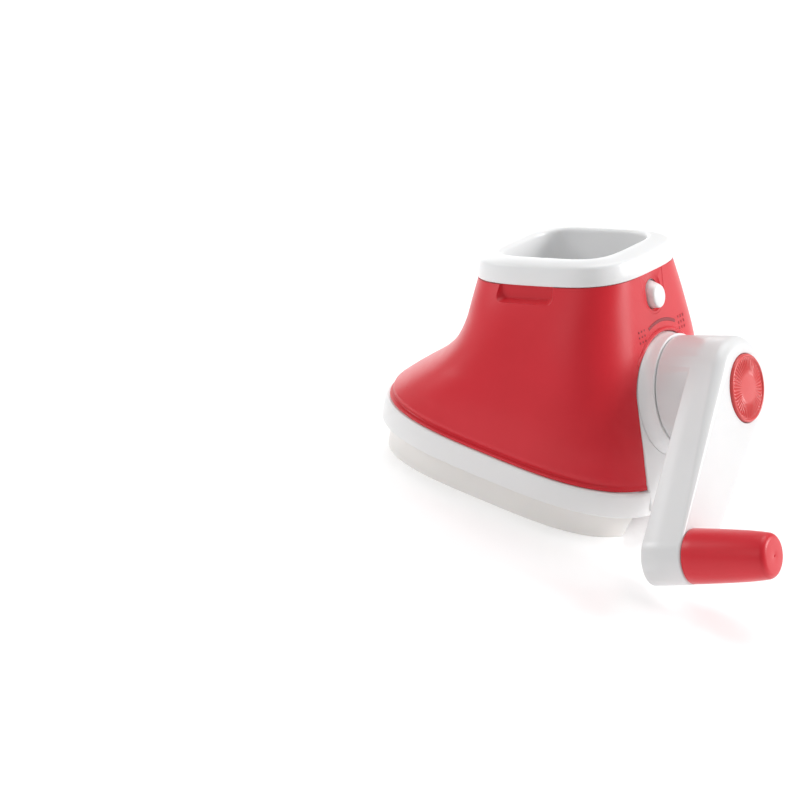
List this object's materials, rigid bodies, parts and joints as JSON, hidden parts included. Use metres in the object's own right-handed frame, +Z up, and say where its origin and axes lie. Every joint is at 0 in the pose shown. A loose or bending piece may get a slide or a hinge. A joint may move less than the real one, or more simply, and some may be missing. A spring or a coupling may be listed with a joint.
{
  "type": "rotary cheese grater",
  "caption": "Hand-cranked rotary grater: a square hopper feeds a cone drum in a domed housing that stands on a food container, with a crank and knob on its sloped end.",
  "frame": {"origin": "centre of the whole object's box, on the plane the skirt stands on", "axes": "+X from the toe to the crank end, +Y across towards the side away from the crank's arm, +Z up"},
  "size_m": [0.2898, 0.1864, 0.1529],
  "materials": {
    "red_plastic": "fine grained matte moulding",
    "coral_plastic": "satin moulding",
    "white_plastic": "satin moulding",
    "skirt_plastic": "slightly translucent warm white moulding",
    "bearing_plastic": "low friction moulding",
    "steel": "brushed stainless"
  },
  "bodies": {
    "housing": {"base_frame": "white_plastic", "base_skirt": "skirt_plastic", "outer_shell": "red_plastic", "bearing_bridge": "white_plastic", "shell_screw_1": "steel", "shell_screw_2": "steel", "shell_screw_3": "steel", "shell_screw_4": "steel", "bridge_screw_1": "steel", "bridge_screw_2": "steel", "rear_bearing_bush": "bearing_plastic", "button_guide": "white_plastic", "button_spring": "steel"},
    "button": {"release_button": "white_plastic", "latch_catch": "bearing_plastic"},
    "hopper": {"hopper": "white_plastic"},
    "cartridge": {"bearing_collar": "white_plastic", "front_bearing_bush": "bearing_plastic"},
    "crank": {"crank_arm": "white_plastic", "arm_back_cover": "white_plastic", "hub_cap": "coral_plastic", "drive_shaft": "steel", "hub_screw": "steel", "drum_hub": "white_plastic", "grating_drum": "steel", "drum_rear_ring": "white_plastic", "knob_spindle": "white_plastic", "spindle_screw": "steel"},
    "knob": {"knob_grip": "red_plastic"}
  },
  "joints": [
    {"name": "button_press", "type": "slide", "parent": "housing", "child": "button", "axis": [-0.9252, 0, -0.3795], "range_m": [0, 0.003], "stiffness_N_per_m": 400, "springref_m": -0.001},
    {"name": "hopper_lift", "type": "slide", "parent": "housing", "child": "hopper", "axis": [-0.2823, 0, 0.9593], "range_m": [0, 0.09]},
    {"name": "cartridge_pull", "type": "slide", "parent": "housing", "child": "cartridge", "axis": [0.9252, 0, 0.3795], "range_m": [0, 0.13]},
    {"name": "crank_turn", "type": "hinge", "parent": "cartridge", "child": "crank", "pos_m": [0.01942, 0.01539, 0.0755], "axis": [0.9252, 0, 0.3795], "continuous": true},
    {"name": "knob_spin", "type": "hinge", "parent": "crank", "child": "knob", "pos_m": [0.09449, -0.07681, 0.02843], "axis": [0.9252, 0, 0.3795], "continuous": true}
  ]
}
